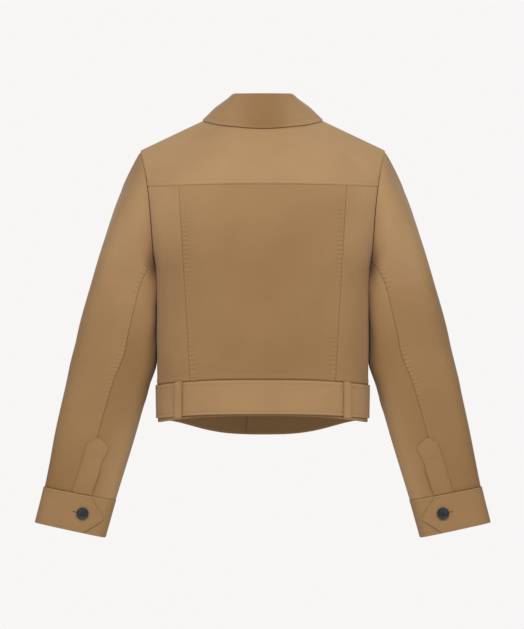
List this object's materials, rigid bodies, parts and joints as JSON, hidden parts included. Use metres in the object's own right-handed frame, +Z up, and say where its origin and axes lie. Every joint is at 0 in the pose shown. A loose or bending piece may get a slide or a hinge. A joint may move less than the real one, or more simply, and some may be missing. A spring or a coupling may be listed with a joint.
{
  "type": "cropped jacket",
  "caption": "Cropped tan cotton jacket, hollow in its worn shape, with turned-down collar, back yoke, belted waist, vented sleeves and buttoned cuffs with pointed ends.",
  "frame": {"origin": "middle of the neck opening, level with the inner ends of the shoulder seams", "axes": "+Z up, -Y the front of the jacket, +X the wearer's left"},
  "size_m": [0.7406, 0.2372, 0.7205],
  "materials": {
    "cloth": "smooth tan cotton twill",
    "button": "dark horn, softly polished"
  },
  "bodies": {
    "root": {"back_centre": "cloth", "back_side_left": "cloth", "back_side_right": "cloth", "back_yoke": "cloth", "belt": "cloth", "belt_loop_left": "cloth", "belt_loop_right": "cloth", "button_belt": "button", "button_cuff_left": "button", "button_cuff_right": "button", "button_front_1": "button", "button_front_2": "button", "button_front_3": "button", "button_front_4": "button", "collar_fall": "cloth", "collar_stand": "cloth", "cuff_left": "cloth", "cuff_right": "cloth", "front_left": "cloth", "front_right": "cloth", "sleeve_top_left": "cloth", "sleeve_top_right": "cloth", "sleeve_under_left": "cloth", "sleeve_under_right": "cloth", "vent_left": "cloth", "vent_right": "cloth", "waistband_back": "cloth", "waistband_left": "cloth", "waistband_right": "cloth"}
  },
  "joints": []
}
